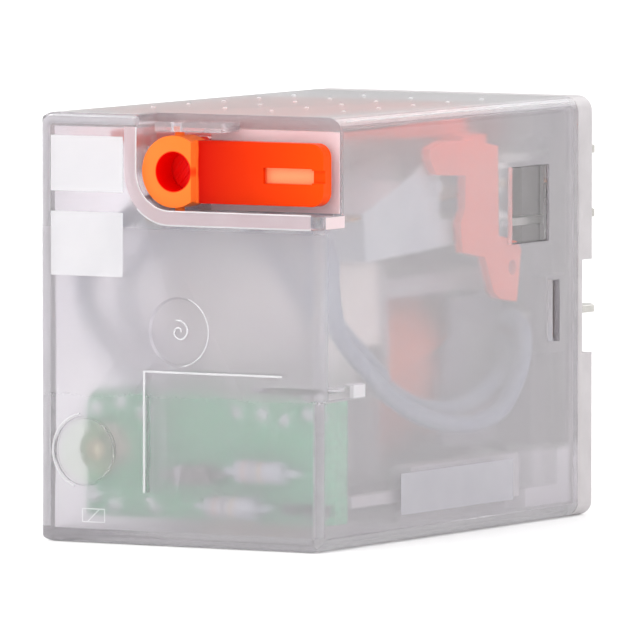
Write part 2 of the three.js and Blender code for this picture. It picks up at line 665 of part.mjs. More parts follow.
place('yoke', makeYoke(), steel);
place('core', makeCore(), steel);
place('bobbin', makeBobbin(), creamPlastic);
place('coil_winding', makeWinding(), copperTape);
place('coil_cradle', makeCradle(), whitePlastic);
place('armature_retainer', makeRetainer(), springMetal);
place('return_spring', makeReturnSpring(), steel);

// The armature group turns about a line along X through the pivot.
const pivotY = depthToY(ARMATURE_PIVOT.depth);
const armatureGroup = new THREE.Group();
armatureGroup.position.set(0, pivotY, ARMATURE_PIVOT.z);
armatureGroup.rotation.x = ARMATURE_SWING;
relay.add(armatureGroup);

function placeOnArmature(name, geometry, material) {
  place(name, geometry.translate(0, -pivotY, -ARMATURE_PIVOT.z), material, armatureGroup);
}

placeOnArmature('armature', makeArmaturePlate(), steel);
placeOnArmature('contact_carrier', makeCarrier(), whitePlastic);
POLES.forEach((x, index) => {
  placeOnArmature(`moving_spring_${index + 1}`, makeMovingSpring(x), springMetal);
  placeOnArmature(`moving_contact_${index + 1}`, makeMovingContact(x), silver);
});

const leads = [[OUTER_LEAD, -1], [INNER_LEAD, -1], [INNER_LEAD, 1], [OUTER_LEAD, 1]];
leads.forEach(([route, side], index) => {
  place(`lead_wire_${index + 1}`, leadAlong(mirrored(route, side), 0.58, 44), leadBlue);
});
[-1, 1].forEach((side, index) => {
  place(`coil_lead_${index + 1}`, leadAlong(mirrored(COIL_LEAD, side), 0.32, 32), darkGlass);
});

place('circuit_board', block(BOARD.x, BOARD.depth, BOARD.z), boardGreen);
place('indicator_led', makeLed(), ledBody);
place('series_resistor_1', makeAxialPart(5.1, 4.9, 3.4, 0.75), ceramic);
place('series_resistor_2', makeAxialPart(3.0, 2.6, 3.4, 0.75), ceramic);
place('protection_diode', makeAxialPart(0.1, 4.6, 2.6, 0.65), darkGlass);

place('test_lever', makeLever(), orangePlastic);
place('test_slider', makeSlider(), orangePlastic);

export default relay;
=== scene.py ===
# Looks for a plug-in control relay: a frosted clear cover over the coil, the armature and the
# contact springs, with an orange test lever in one front corner.
# Metres, in the CAD frame: X across the narrow body, Y from the front face to the blades, Z up.
import json
import math

import bmesh
import bpy
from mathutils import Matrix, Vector

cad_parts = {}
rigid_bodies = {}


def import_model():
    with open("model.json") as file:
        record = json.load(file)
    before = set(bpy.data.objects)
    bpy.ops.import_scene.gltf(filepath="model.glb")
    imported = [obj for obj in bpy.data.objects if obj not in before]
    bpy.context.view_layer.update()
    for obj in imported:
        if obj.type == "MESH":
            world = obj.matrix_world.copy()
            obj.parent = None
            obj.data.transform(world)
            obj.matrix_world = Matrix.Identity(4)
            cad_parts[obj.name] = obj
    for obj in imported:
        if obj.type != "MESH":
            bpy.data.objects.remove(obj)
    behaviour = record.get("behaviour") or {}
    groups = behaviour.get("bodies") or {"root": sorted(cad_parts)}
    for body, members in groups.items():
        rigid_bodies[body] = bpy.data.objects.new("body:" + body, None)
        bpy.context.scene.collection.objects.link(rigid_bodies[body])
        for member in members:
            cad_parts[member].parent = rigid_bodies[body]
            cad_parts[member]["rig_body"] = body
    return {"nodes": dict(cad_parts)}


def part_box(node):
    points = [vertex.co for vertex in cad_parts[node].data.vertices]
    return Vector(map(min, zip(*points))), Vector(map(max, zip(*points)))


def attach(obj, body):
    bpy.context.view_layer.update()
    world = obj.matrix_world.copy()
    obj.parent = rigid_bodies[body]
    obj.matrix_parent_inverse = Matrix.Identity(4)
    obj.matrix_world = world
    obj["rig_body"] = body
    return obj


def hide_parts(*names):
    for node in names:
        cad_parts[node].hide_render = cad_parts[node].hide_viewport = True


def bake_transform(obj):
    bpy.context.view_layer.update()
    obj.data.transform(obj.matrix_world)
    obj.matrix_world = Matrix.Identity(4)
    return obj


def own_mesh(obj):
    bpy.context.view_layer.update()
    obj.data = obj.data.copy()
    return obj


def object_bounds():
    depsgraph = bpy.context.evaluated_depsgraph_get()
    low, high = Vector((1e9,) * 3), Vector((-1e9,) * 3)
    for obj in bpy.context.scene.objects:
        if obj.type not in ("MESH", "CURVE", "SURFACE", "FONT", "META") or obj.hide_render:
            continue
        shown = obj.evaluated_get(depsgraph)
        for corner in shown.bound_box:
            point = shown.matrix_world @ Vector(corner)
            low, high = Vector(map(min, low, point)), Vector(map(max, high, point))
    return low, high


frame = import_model()
cad_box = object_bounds()

MM = 0.001
FRONT_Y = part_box("cover")[0].y


def at(x, depth, z):
    """A point from millimetres: x across, depth behind the front face, z up."""
    return Vector((x * MM, FRONT_Y + depth * MM, z * MM))


# ---------------------------------------------------------------- camera and light

# Fitted to the corners of the body in the photograph; the aim is right of the target and below it.
CAMERA_AZIMUTH = math.radians(29.96)
CAMERA_ELEVATION = math.radians(3.85)
CAMERA_DISTANCE = 0.8606
CAMERA_LENS = 749.8
CAMERA_TARGET = Vector((0, -0.0048, 0.01375))
AIM_RIGHT = 0.0010045
AIM_DOWN = 0.000172


def make_camera():
    cos_e = math.cos(CAMERA_ELEVATION)
    back = Vector((
        math.sin(CAMERA_AZIMUTH) * cos_e,
        -math.cos(CAMERA_AZIMUTH) * cos_e,
        math.sin(CAMERA_ELEVATION),
    ))
    right = Vector((math.cos(CAMERA_AZIMUTH), math.sin(CAMERA_AZIMUTH), 0))
    up = back.cross(right)
    aim = CAMERA_TARGET + right * AIM_RIGHT - up * AIM_DOWN
    data = bpy.data.cameras.new("camera")
    data.lens = CAMERA_LENS
    data.sensor_width = 36
    data.clip_start = 0.01
    data.clip_end = 20
    camera = bpy.data.objects.new("camera", data)
    camera.rotation_mode = "QUATERNION"
    camera.rotation_quaternion = (-back).to_track_quat("-Z", "Y")
    camera.location = aim + back * CAMERA_DISTANCE
    bpy.context.scene.collection.objects.link(camera)
    bpy.context.scene.camera = camera


# The studio's brightness at the horizon and overhead, and how high its ceiling starts.
HORIZON_STRENGTH = 0.6
CEILING_STRENGTH = 1.15
CEILING_START = 0.35
STUDIO_CENTRE = Vector((0, 0, 0.0137))

# Square lamps aimed at the studio's centre, as (name, place, size, power).
LAMPS = [
    ("key_light", (-0.45, -0.80, 0.40), 1.0, 3.0),
    ("side_light", (0.85, -0.15, 0.35), 1.0, 3.4),
    ("edge_light", (-0.33, -0.06, 0.60), 0.2, 0.8),
    ("rim_light", (0.06, 0.78, 0.45), 0.5, 1.2),
    ("left_light", (-0.78, 0.45, 0.12), 0.5, 0.7),
]


def area_light(name, place, size, power):
    data = bpy.data.lights.new(name, "AREA")
    data.shape = "SQUARE"
    data.size = size
    data.energy = power
    lamp = bpy.data.objects.new(name, data)
    lamp.location = place
    lamp.rotation_mode = "QUATERNION"
    lamp.rotation_quaternion = (STUDIO_CENTRE - Vector(place)).to_track_quat("-Z", "Y")
    bpy.context.scene.collection.objects.link(lamp)


def make_studio():
    world = bpy.data.worlds.new("studio")
    world.use_nodes = True
    tree = world.node_tree
    background = tree.nodes["Background"]
    background.inputs["Color"].default_value = (1.0, 0.995, 0.995, 1)
    direction = tree.nodes.new("ShaderNodeTexCoord")
    split = tree.nodes.new("ShaderNodeSeparateXYZ")
    rise = tree.nodes.new("ShaderNodeMapRange")
    rise.interpolation_type = "SMOOTHSTEP"
    rise.inputs["From Max"].default_value = CEILING_START
    rise.inputs["To Min"].default_value = HORIZON_STRENGTH
    rise.inputs["To Max"].default_value = CEILING_STRENGTH
    tree.links.new(direction.outputs["Generated"], split.inputs["Vector"])
    tree.links.new(split.outputs["Z"], rise.inputs["Value"])
    tree.links.new(rise.outputs["Result"], background.inputs["Strength"])
    bpy.context.scene.world = world
    for lamp in LAMPS:
        area_light(*lamp)
    settings = bpy.context.scene.view_settings
    settings.view_transform = "Standard"
    settings.look = "None"


# ---------------------------------------------------------------- materials

def linear(code):
    """A linear colour from an sRGB hex code."""
    channels = [int(code[i:i + 2], 16) / 255 for i in (0, 2, 4)]
    return tuple(c / 12.92 if c <= 0.04045 else ((c + 0.055) / 1.055) ** 2.4 for c in channels) + (1.0,)


class Material:
    """A node material on one Principled shader, with coordinates in millimetres."""

    def __init__(self, name, **sockets):
        self.material = bpy.data.materials.new(name)
        self.material.use_nodes = True
        self.tree = self.material.node_tree
        self.shader = self.tree.nodes["Principled BSDF"]
        for socket, value in sockets.items():
            self.shader.inputs[socket.replace("_", " ")].default_value = value
        coordinates = self.tree.nodes.new("ShaderNodeTexCoord")
        mapping = self.tree.nodes.new("ShaderNodeMapping")
        mapping.inputs["Scale"].default_value = (1000, 1000, 1000)
        self.tree.links.new(coordinates.outputs["Object"], mapping.inputs["Vector"])
        self.position = mapping.outputs["Vector"]
        split = self.tree.nodes.new("ShaderNodeSeparateXYZ")
        self.tree.links.new(self.position, split.inputs["Vector"])
        self.x, self.y, self.z = (split.outputs[axis] for axis in "XYZ")

    def _feed(self, socket, value):
        if hasattr(value, "is_output"):
            self.tree.links.new(value, socket)
        else:
            socket.default_value = value

    def stretched(self, scale):
        """The coordinates scaled by a different factor along each axis."""
        node = self.tree.nodes.new("ShaderNodeMapping")
        node.inputs["Scale"].default_value = scale
        self.tree.links.new(self.position, node.inputs["Vector"])
        return node.outputs["Vector"]

    def noise(self, scale, detail=3.0, roughness=0.5, vector=None):
        node = self.tree.nodes.new("ShaderNodeTexNoise")
        node.inputs["Scale"].default_value = scale
        node.inputs["Detail"].default_value = detail
        node.inputs["Roughness"].default_value = roughness
        self.tree.links.new(vector or self.position, node.inputs["Vector"])
        return node.outputs["Fac"]

    def math(self, operation, first, second=0.0):
        node = self.tree.nodes.new("ShaderNodeMath")
        node.operation = operation
        self._feed(node.inputs[0], first)
        self._feed(node.inputs[1], second)
        return node.outputs["Value"]

    def spread(self, value, low, high, source=(0.0, 1.0)):
        """value mapped from the source range to low..high and held inside it."""
        node = self.tree.nodes.new("ShaderNodeMapRange")
        self._feed(node.inputs["Value"], value)
        node.inputs["From Min"].default_value = source[0]
        node.inputs["From Max"].default_value = source[1]
        node.inputs["To Min"].default_value = low
        node.inputs["To Max"].default_value = high
        return node.outputs["Result"]

    def ramp(self, value, *stops):
        node = self.tree.nodes.new("ShaderNodeValToRGB")
        elements = node.color_ramp.elements
        while len(elements) < len(stops):
            elements.new(1.0)
        for element, (position, code) in zip(elements, stops):
            element.position = position
            element.color = linear(code)
        self._feed(node.inputs["Fac"], value)
        return node.outputs["Color"]

    def mix(self, factor, first, second):
        node = self.tree.nodes.new("ShaderNodeMix")
        node.data_type = "RGBA"
        self._feed(node.inputs["Factor"], factor)
        self._feed(node.inputs["A"], first)
        self._feed(node.inputs["B"], second)
        return node.outputs["Result"]

    def within(self, value, low, high, edge=0.04):
        """1 where value lies between low and high, with a soft edge in millimetres."""
        rise = self.spread(value, 0.0, 1.0, (low - edge, low + edge))
        fall = self.spread(value, 1.0, 0.0, (high - edge, high + edge))
        return self.math("MULTIPLY", rise, fall)

    def region(self, x_range, z_range, depth_range, edge=0.04):
        """1 inside a box given in X, Z and depth behind the front face, fading over edge millimetres."""
        front = FRONT_Y / MM
        across = self.within(self.x, *x_range, edge)
        inside = self.math("MULTIPLY", across, self.within(self.z, *z_range, edge))
        along = self.within(self.y, front + depth_range[0], front + depth_range[1], edge)
        return self.math("MULTIPLY", inside, along)

    def distance_from(self, x, z):
        """Distance in the front view, in millimetres, from the point (x, z)."""
        across = self.math("POWER", self.math("SUBTRACT", self.x, x), 2.0)
        above = self.math("POWER", self.math("SUBTRACT", self.z, z), 2.0)
        return self.math("SQRT", self.math("ADD", across, above))

    def depth(self):
        """Distance behind the front face, in millimetres."""
        return self.math("SUBTRACT", self.y, FRONT_Y / MM)

    def bump(self, height, strength, distance):
        node = self.tree.nodes.new("ShaderNodeBump")
        node.inputs["Strength"].default_value = strength
        node.inputs["Distance"].default_value = distance * MM
        self.tree.links.new(height, node.inputs["Height"])
        self.tree.links.new(node.outputs["Normal"], self.shader.inputs["Normal"])

    def use(self, colour=None, roughness=None):
        if colour is not None:
            self._feed(self.shader.inputs["Base Color"], colour)
        if roughness is not None:
            self._feed(self.shader.inputs["Roughness"], roughness)
        return self.material


# The cover is satin outside and etched inside; these millimetre ranges hold its inner faces.
CAVITY_X = (-9.6, 9.6)
CAVITY_Z = (0.8, 26.7)
CAVITY_DEPTH = (0.8, 40.0)

# The front wall is etched more heavily than the others, below the lever's pocket: by the first amount
# low down, in front of the board, rising over the heights of the fade to the second.
FRONT_WALL_X = (-11.0, 11.0)
FRONT_WALL_DEPTH = (-0.5, 0.97)
FRONT_ETCH_Z = (-1.0, 20.2)
FRONT_ETCH = (0.13, 0.28)
FRONT_ETCH_FADE = (9.0, 12.5)

# Painted light: where the orange plate's pink glow, scattered through the cover, is painted into the cover's
# colour:
# the top face over it, and the sides level with it, as ranges in X, Z and depth.
PLATE_GLOW_TOP = ((-8.2, 7.6), (26.0, 30.0), (3.2, 24.5))
PLATE_GLOW_SIDES = ((-12.0, 12.0), (24.6, 27.2), (3.0, 24.0))

# Middle of the indicator's lens ring in the front view, and the radii over which the lens's painted glow on
# the cover fades.
LENS_RING_X = -6.9
LENS_RING_Z = 5.9
LENS_FADE = (1.7, 2.3)


def frosted_cover():
    m = Material("frosted_polycarbonate", IOR=1.5, Transmission_Weight=0.85)
    grain = m.noise(9.0, detail=4.0)
    cloud = m.noise(0.22, detail=2.0)
    inside = m.region(CAVITY_X, CAVITY_Z, CAVITY_DEPTH)
    satin = m.spread(grain, 0.1, 0.14)
    etched = m.math("MULTIPLY", inside, m.spread(grain, 0.08, 0.12))
    front = m.region(FRONT_WALL_X, FRONT_ETCH_Z, FRONT_WALL_DEPTH)
    heavier = m.math("MULTIPLY", front, m.spread(m.z, *FRONT_ETCH, FRONT_ETCH_FADE))
    uneven = m.spread(cloud, -0.02, 0.02)
    frosted = m.math("ADD", m.math("ADD", satin, etched), m.math("ADD", heavier, uneven))
    m.bump(cloud, 0.1, 0.01)
    colour = m.ramp(cloud, (0.2, "F3EFF5"), (0.8, "F9F6F9"))
    # Painted light: the lens's pale green, as scattered through the frosted front wall, painted on the wall
    # in front of it.
    lens = m.spread(m.distance_from(LENS_RING_X, LENS_RING_Z), 1.0, 0.0, LENS_FADE)
    glow = m.math("MULTIPLY", front, lens)
    colour = m.mix(m.math("MULTIPLY", glow, 0.7), colour, linear("F0F6EE"))
    # Painted light: the orange plate's pink, painted on the top face over it and, paler, on the sides.
    plate = m.region(*PLATE_GLOW_TOP, edge=1.6)
    colour = m.mix(m.math("MULTIPLY", plate, 0.8), colour, linear("F2A7A0"))
    bleed = m.region(*PLATE_GLOW_SIDES, edge=1.4)
    colour = m.mix(m.math("MULTIPLY", bleed, 0.4), colour, linear("FFD8D6"))
    return m.use(colour, frosted)


def polished_pane():
    m = Material("polished_polycarbonate", IOR=1.5, Transmission_Weight=0.98)
    haze = m.noise(0.6, detail=2.0)
    m.bump(haze, 0.05, 0.01)
    return m.use(m.ramp(haze, (0.2, "F4F1F3"), (0.8, "FAF8F9")), m.spread(haze, 0.02, 0.06))


def frosted_skin(name, dark, light, transmission):
    """Thin pale or tinted surface that lets part of the light through, for real markings and for painted
    highlights and glow.
    """
    m = Material(name, IOR=1.48, Transmission_Weight=transmission)
    cloud = m.noise(0.4, detail=2.0)
    grain = m.noise(8.0, detail=3.0)
    m.bump(grain, 0.08, 0.006)
    return m.use(m.ramp(cloud, (0.25, dark), (0.75, light)), m.spread(grain, 0.3, 0.42))


# Depths over which the base's colour changes from the plug's painted shade to the flange's.
PLUG_TO_FLANGE = (33.2, 33.75)

# Heights over which it changes from the lower rails' to the plug's painted shade.
RAILS_TO_PLUG = (4.4, 5.0)


def base_polymer():
    """Pale flange, with the plug painted darker and greyer where the moulding goes into the cover: painted
    shade, as less light reaches inside.
    """
    m = Material("base_polymer", IOR=1.5, Transmission_Weight=0.3)
    cloud = m.noise(0.5, detail=3.0)
    grain = m.noise(6.0, detail=3.0)
    flange = m.ramp(cloud, (0.25, "C4BFC1"), (0.75, "D2CDCF"))
    # Painted shade: the plug inside the cover is painted darker than the flange, though it is the same
    # moulding.
    plug = m.ramp(cloud, (0.25, "5E5657"), (0.75, "706868"))
    plug = m.mix(m.spread(m.z, 1.0, 0.0, RAILS_TO_PLUG), plug, linear("E6E3E8"))
    colour = m.mix(m.spread(m.depth(), 0.0, 1.0, PLUG_TO_FLANGE), plug, flange)
    m.bump(grain, 0.15, 0.012)
    return m.use(colour, m.spread(grain, 0.34, 0.5))


def moulded_plastic(name, dark, light):
    m = Material(name, IOR=1.49, Subsurface_Weight=0.12)
    m.shader.inputs["Subsurface Radius"].default_value = (0.0012, 0.001, 0.0009)
    cloud = m.noise(0.6, detail=3.0)
    grain = m.noise(8.0, detail=3.0)
    m.bump(grain, 0.18, 0.012)
    return m.use(m.ramp(cloud, (0.25, dark), (0.75, light)), m.spread(grain, 0.42, 0.58))


# Depths over which the bobbin's colour changes from the cream ears to the flanges, painted greyer as shade.
EARS_TO_FLANGE = (12.2, 12.9)


def bobbin_nylon():
    m = Material("bobbin_nylon", IOR=1.49, Subsurface_Weight=0.1)
    m.shader.inputs["Subsurface Radius"].default_value = (0.0012, 0.001, 0.0009)
    cloud = m.noise(0.6, detail=3.0)
    grain = m.noise(8.0, detail=3.0)
    ears = m.ramp(cloud, (0.25, "F2E8DE"), (0.75, "F8F0E8"))
    # Painted shade: the flanges behind the ears are greyed as if in shade.
    flanges = m.ramp(cloud, (0.25, "A8A0A4"), (0.75, "B8B0B3"))
    colour = m.mix(m.spread(m.depth(), 0.0, 1.0, EARS_TO_FLANGE), ears, flanges)
    m.bump(grain, 0.18, 0.012)
    return m.use(colour, m.spread(grain, 0.42, 0.58))


def brushed_metal(name, dark, light, roughness, direction, strength=0.2):
    """Rolled or plated metal with fine lines; direction stretches the grain along one axis."""
    m = Material(name, Metallic=1.0)
    lines = m.noise(3.0, detail=4.0, vector=m.stretched(direction))
    cloud = m.noise(0.7, detail=4.0)
    m.bump(lines, strength, 0.006)
    tone = m.math("ADD", m.math("MULTIPLY", lines, 0.5), m.math("MULTIPLY", cloud, 0.5))
    return m.use(m.ramp(tone, (0.3, dark), (0.7, light)), m.spread(lines, *roughness))


# The lever's eye in the front view, the radius of its bore and that of the pocket's corner round it.
LEVER_X = -0.65
LEVER_Z = 23.9
EYE_BORE = 1.27
POCKET_RIM = 2.5

# Floor of the slot in the lever's tab, as ranges in X, Z and depth.
GRIP_X = (5.6, 9.15)
GRIP_Z = (23.3, 24.3)
GRIP_FLOOR = (1.4, 1.75)


def lever_plastic():
    """Orange moulding with painted light and shade: the eye painted pale as lit, the tab painted deep red
    beside it as shade and lighter towards its end, and the bore painted bright red as glow.
    """
    m = Material("lever_orange", IOR=1.5, Subsurface_Weight=0.05, Specular_IOR_Level=0.05)
    m.shader.inputs["Subsurface Radius"].default_value = (0.002, 0.0006, 0.0003)
    grain = m.noise(7.0, detail=3.0)
    along = m.spread(m.x, 0.0, 1.0, (-3.0, 10.3))
    tone = m.math("ADD", along, m.spread(m.noise(0.5), -0.01, 0.01))
    # Painted light and shade: pale orange eye as lit, deep red where the tab meets it as shade, lighter to
    # the tab's end.
    colour = m.ramp(tone, (0.0, "FF8038"), (0.284, "FF7A30"), (0.292, "C40E00"), (1.0, "F44800"))
    colour = m.mix(m.region(GRIP_X, GRIP_Z, GRIP_FLOOR), colour, linear("FFA070"))
    # Painted light: the bore is painted bright red, as the glow of light through the plastic where little
    # light falls.
    bore = m.spread(m.distance_from(LEVER_X, LEVER_Z), 1.0, 0.0, (EYE_BORE, EYE_BORE + 0.08))
    colour = m.mix(bore, colour, linear("F00400"))
    m.bump(grain, 0.12, 0.01)
    return m.use(colour, m.spread(grain, 0.28, 0.42))


def slider_plastic():
    m = Material("slider_orange", IOR=1.5, Subsurface_Weight=0.2, Specular_IOR_Level=0.25)
    m.shader.inputs["Subsurface Radius"].default_value = (0.002, 0.0008, 0.0005)
    # Painted light: bright red at the front, where the pad shows in the lever's eye and little light reaches
    # it.
    front = m.spread(m.y, 0.0, 1.0, (-19.0, -12.0))
    grain = m.noise(6.0, detail=3.0)
    tone = m.math("ADD", front, m.spread(m.noise(0.6), -0.06, 0.06))
    m.bump(grain, 0.12, 0.01)
    return m.use(m.ramp(tone, (0.1, "FF0600"), (0.6, "F25A1C"), (1.0, "F45414")), m.spread(grain, 0.35, 0.5))


def copper_turns():
    m = Material("enamelled_wire", Metallic=0.75, Coat_Weight=0.4, Coat_Roughness=0.2)
    turns = m.noise(1.0, detail=2.0, vector=m.stretched((0.6, 9.0, 0.6)))
    cloud = m.noise(0.8, detail=3.0)
    m.bump(turns, 0.2, 0.01)
    tone = m.math("ADD", m.math("MULTIPLY", turns, 0.6), m.math("MULTIPLY", cloud, 0.4))
    return m.use(m.ramp(tone, (0.3, "A8431F"), (0.7, "E08552")), m.spread(turns, 0.28, 0.45))


def coil_tape():
    m = Material("coil_tape", IOR=1.47)
    fibres = m.noise(2.0, detail=4.0, vector=m.stretched((1.0, 5.0, 1.0)))
    m.bump(fibres, 0.25, 0.015)
    return m.use(m.ramp(fibres, (0.3, "D0502A"), (0.7, "E67648")), m.spread(fibres, 0.4, 0.6))


def lead_sleeve():
    m = Material("lead_sleeve", IOR=1.48)
    weave = m.noise(3.0, detail=4.0)
    m.bump(weave, 0.2, 0.012)
    return m.use(m.ramp(weave, (0.3, "7A8496"), (0.7, "949DAD")), m.spread(weave, 0.42, 0.6))


def board_laminate():
    """Green solder mask over a faint weave, with bare edges."""
    m = Material("board_laminate", IOR=1.52, Coat_Weight=0.3, Coat_Roughness=0.15)
    weave = m.noise(2.0, detail=2.0, vector=m.stretched((4.0, 1.0, 1.0)))
    cross = m.noise(2.0, detail=2.0, vector=m.stretched((1.0, 1.0, 4.0)))
    cloth = m.math("MULTIPLY", weave, cross)
    m.bump(cloth, 0.15, 0.01)
    return m.use(m.ramp(cloth, (0.12, "149A5A"), (0.42, "34C482")), m.spread(cloth, 0.25, 0.4))


def lens_resin():
    m = Material("lens_resin", IOR=1.5, Transmission_Weight=0.9)
    swirl = m.noise(1.5, detail=2.0)
    return m.use(m.ramp(swirl, (0.3, "F1F6D8"), (0.7, "FBFDEB")), m.spread(swirl, 0.08, 0.16))


def lacquer(name, dark, light, bands=()):
    """Glossy lacquer, with coloured bands across X given as (x, width, colour)."""
    m = Material(name, IOR=1.5, Coat_Weight=0.3, Coat_Roughness=0.2)
    cloud = m.noise(1.6, detail=3.0)
    colour = m.ramp(cloud, (0.3, dark), (0.7, light))
    for x, width, code in bands:
        colour = m.mix(m.within(m.x, x - width / 2, x + width / 2, 0.03), colour, linear(code))
    m.bump(m.noise(6.0), 0.1, 0.01)
    return m.use(colour, m.spread(cloud, 0.28, 0.42))


def printed_ink():
    m = Material("printed_ink", IOR=1.45)
    speckle = m.noise(12.0, detail=2.0)
    return m.use(m.ramp(speckle, (0.3, "F4F4F4"), (0.7, "FFFFFF")), m.spread(speckle, 0.5, 0.7))


def studio_floor():
    m = Material("studio_floor", IOR=1.4)
    cloud = m.noise(0.01, detail=2.0)
    m.shader.inputs["Emission Color"].default_value = (1, 1, 1, 1)
    m.shader.inputs["Emission Strength"].default_value = 0.12
    return m.use(m.ramp(cloud, (0.3, "EEEEEE"), (0.7, "F2F2F2")), m.spread(cloud, 0.75, 0.9))


# ---------------------------------------------------------------- mesh helpers

def link_mesh(name, mesh, material):
    mesh.materials.clear()
    mesh.materials.append(material)
    piece = bpy.data.objects.new(name, mesh)
    bpy.context.scene.collection.objects.link(piece)
    return piece


def shade_smooth(mesh, angle=30):
    for face in mesh.polygons:
        face.use_smooth = True
    mesh.set_sharp_from_angle(angle=math.radians(angle))


def add_bevel(piece, width, segments=2, angle=32):
    bevel = piece.modifiers.new("edges", "BEVEL")
    bevel.width = width * MM
    bevel.segments = segments
    bevel.limit_method = "ANGLE"
    bevel.angle_limit = math.radians(angle)
    bevel.harden_normals = True
    bevel.use_clamp_overlap = True


# Corners closer than WELD millimetres are joined; faces flatter to each other than FLAT are made one.
WELD = 0.002
FLAT = math.radians(0.8)


def cleaned(node):
    """The CAD node's mesh with its shared corners joined and its flat faces whole."""
    work = bmesh.new()
    work.from_mesh(frame["nodes"][node].data)
    bmesh.ops.remove_doubles(work, verts=work.verts, dist=WELD * MM)
    bmesh.ops.dissolve_limit(work, angle_limit=FLAT, verts=work.verts, edges=work.edges)
    mesh = bpy.data.meshes.new(node + "_finish")
    work.to_mesh(mesh)
    work.free()
    return mesh


def refine(node, material, bevel=0.06, segments=2):
    """Stands in for a CAD node: its own shape with a finished surface and, given a bevel, rounded edges."""
    mesh = cleaned(node)
    shade_smooth(mesh)
    piece = link_mesh(node + "_finish", mesh, material)
    if bevel:
        add_bevel(piece, bevel, segments)
    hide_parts(node)
    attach(piece, frame["nodes"][node]["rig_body"])
    return piece


def carve(piece, cutter):
    """Cuts the cutter out of the piece's mesh and removes the cutter."""
    cutting = piece.modifiers.new("carve", "BOOLEAN")
    cutting.operation = "DIFFERENCE"
    cutting.solver = "EXACT"
    cutting.object = cutter
    shown = piece.evaluated_get(bpy.context.evaluated_depsgraph_get())
    carved = bpy.data.meshes.new_from_object(shown)
    piece.modifiers.clear()
    piece.data = carved
    bpy.data.objects.remove(cutter)


def lathe(name, profile, centre, axis, material, segments=48):
    """Turns (radius, along) points, in millimetres, round an axis of Y or Z through centre."""
    rings = []
    work = bmesh.new()
    for radius, along in profile:
        ring = []
        for step in range(segments):
            angle = 2 * math.pi * step / segments
            across = (radius * math.cos(angle), radius * math.sin(angle))
            local = (across[0], along, across[1]) if axis == "Y" else (*across, along)
            ring.append(work.verts.new(centre + Vector(local) * MM))
        rings.append(ring)
    for near, far in zip(rings, rings[1:]):
        for step in range(segments):
            after = (step + 1) % segments
            work.faces.new((near[step], near[after], far[after], far[step]))
    bmesh.ops.remove_doubles(work, verts=work.verts, dist=0.0005 * MM)
    bmesh.ops.recalc_face_normals(work, faces=work.faces)
    mesh = bpy.data.meshes.new(name)
    work.to_mesh(mesh)
    work.free()
    shade_smooth(mesh)
    return link_mesh(name, mesh, material)


def tube_mesh(name, path, radius, sides=18):
    """A round tube with flat ends along a list of points; radius is in millimetres."""
    work = bmesh.new()
    normal = None
    rings = []
    last = len(path) - 1
    for index, point in enumerate(path):
        tangent = (path[min(index + 1, last)] - path[max(index - 1, 0)]).normalized()
        if normal is None:
            normal = tangent.orthogonal().normalized()
        normal = (normal - tangent * normal.dot(tangent)).normalized()
        side = tangent.cross(normal)
        ring = []
        for step in range(sides):
            angle = 2 * math.pi * step / sides
            offset = normal * math.cos(angle) + side * math.sin(angle)
            ring.append(work.verts.new(point + offset * radius * MM))
        rings.append(ring)
    for near, far in zip(rings, rings[1:]):
        for step in range(sides):
            after = (step + 1) % sides
            work.faces.new((near[step], near[after], far[after], far[step]))
    work.faces.new(rings[0])
    work.faces.new(list(reversed(rings[-1])))
    bmesh.ops.recalc_face_normals(work, faces=work.faces)
    mesh = bpy.data.meshes.new(name)
    work.to_mesh(mesh)
    work.free()
    shade_smooth(mesh, 50)
    return mesh


def smooth_route(points, steps=12):
    """Centripetal Catmull-Rom curve through the points."""
    ends = [points[0] * 2 - points[1], *points, points[-1] * 2 - points[-2]]
    route = []
    for p0, p1, p2, p3 in zip(ends, ends[1:], ends[2:], ends[3:]):
        t1 = (p1 - p0).length ** 0.5
        t2 = t1 + (p2 - p1).length ** 0.5
        t3 = t2 + (p3 - p2).length ** 0.5
        for step in range(steps):
            t = t1 + (t2 - t1) * step / steps
            a1 = p0 * ((t1 - t) / t1) + p1 * (t / t1)
            a2 = p1 * ((t2 - t) / (t2 - t1)) + p2 * ((t - t1) / (t2 - t1))
            a3 = p2 * ((t3 - t) / (t3 - t2)) + p3 * ((t - t2) / (t3 - t2))
            b1 = a1 * ((t2 - t) / t2) + a2 * (t / t2)
            b2 = a2 * ((t3 - t) / (t3 - t1)) + a3 * ((t - t1) / (t3 - t1))
            route.append(b1 * ((t2 - t) / (t2 - t1)) + b2 * ((t - t1) / (t2 - t1)))
    return [*route, points[-1]]


def slabs(name, boxes, material, bevel=0.02):
    """One piece from several boxes, each as ranges in X, depth and Z, with eased edges given a bevel."""
    work = bmesh.new()
    for x_range, depth_range, z_range in boxes:
        made = bmesh.ops.create_cube(work, size=1.0)["verts"]
        low = at(x_range[0], depth_range[0], z_range[0])
        high = at(x_range[1], depth_range[1], z_range[1])
        for corner in made:
            share = corner.co + Vector((0.5, 0.5, 0.5))
            corner.co = Vector(low[i] + (high[i] - low[i]) * share[i] for i in range(3))
    mesh = bpy.data.meshes.new(name)
    work.to_mesh(mesh)
    work.free()
    shade_smooth(mesh)
    piece = link_mesh(name, mesh, material)
    if bevel:
        add_bevel(piece, bevel)
    return piece


# ---------------------------------------------------------------- cover and base

def on_cover(piece):
    """Makes a piece of the cover ride on the housing."""
    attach(piece, "housing")


GATE = at(0, 0, 13.75)
GATE_RADIUS = 2.2
LENS_RING = at(LENS_RING_X, 0, LENS_RING_Z)
LENS_RING_RADIUS = 2.4


def lens_groove(material, radius, width, depth):
    """Cutter for the round groove in the front face, inside the lens ring."""
    profile = [
        (radius - width, -0.3), (radius + width, -0.3), (radius + width * 0.7, depth),
        (radius - width * 0.7, depth), (radius - width, -0.3),
    ]
    return lathe("lens_cutter", profile, LENS_RING, "Y", material, 64)


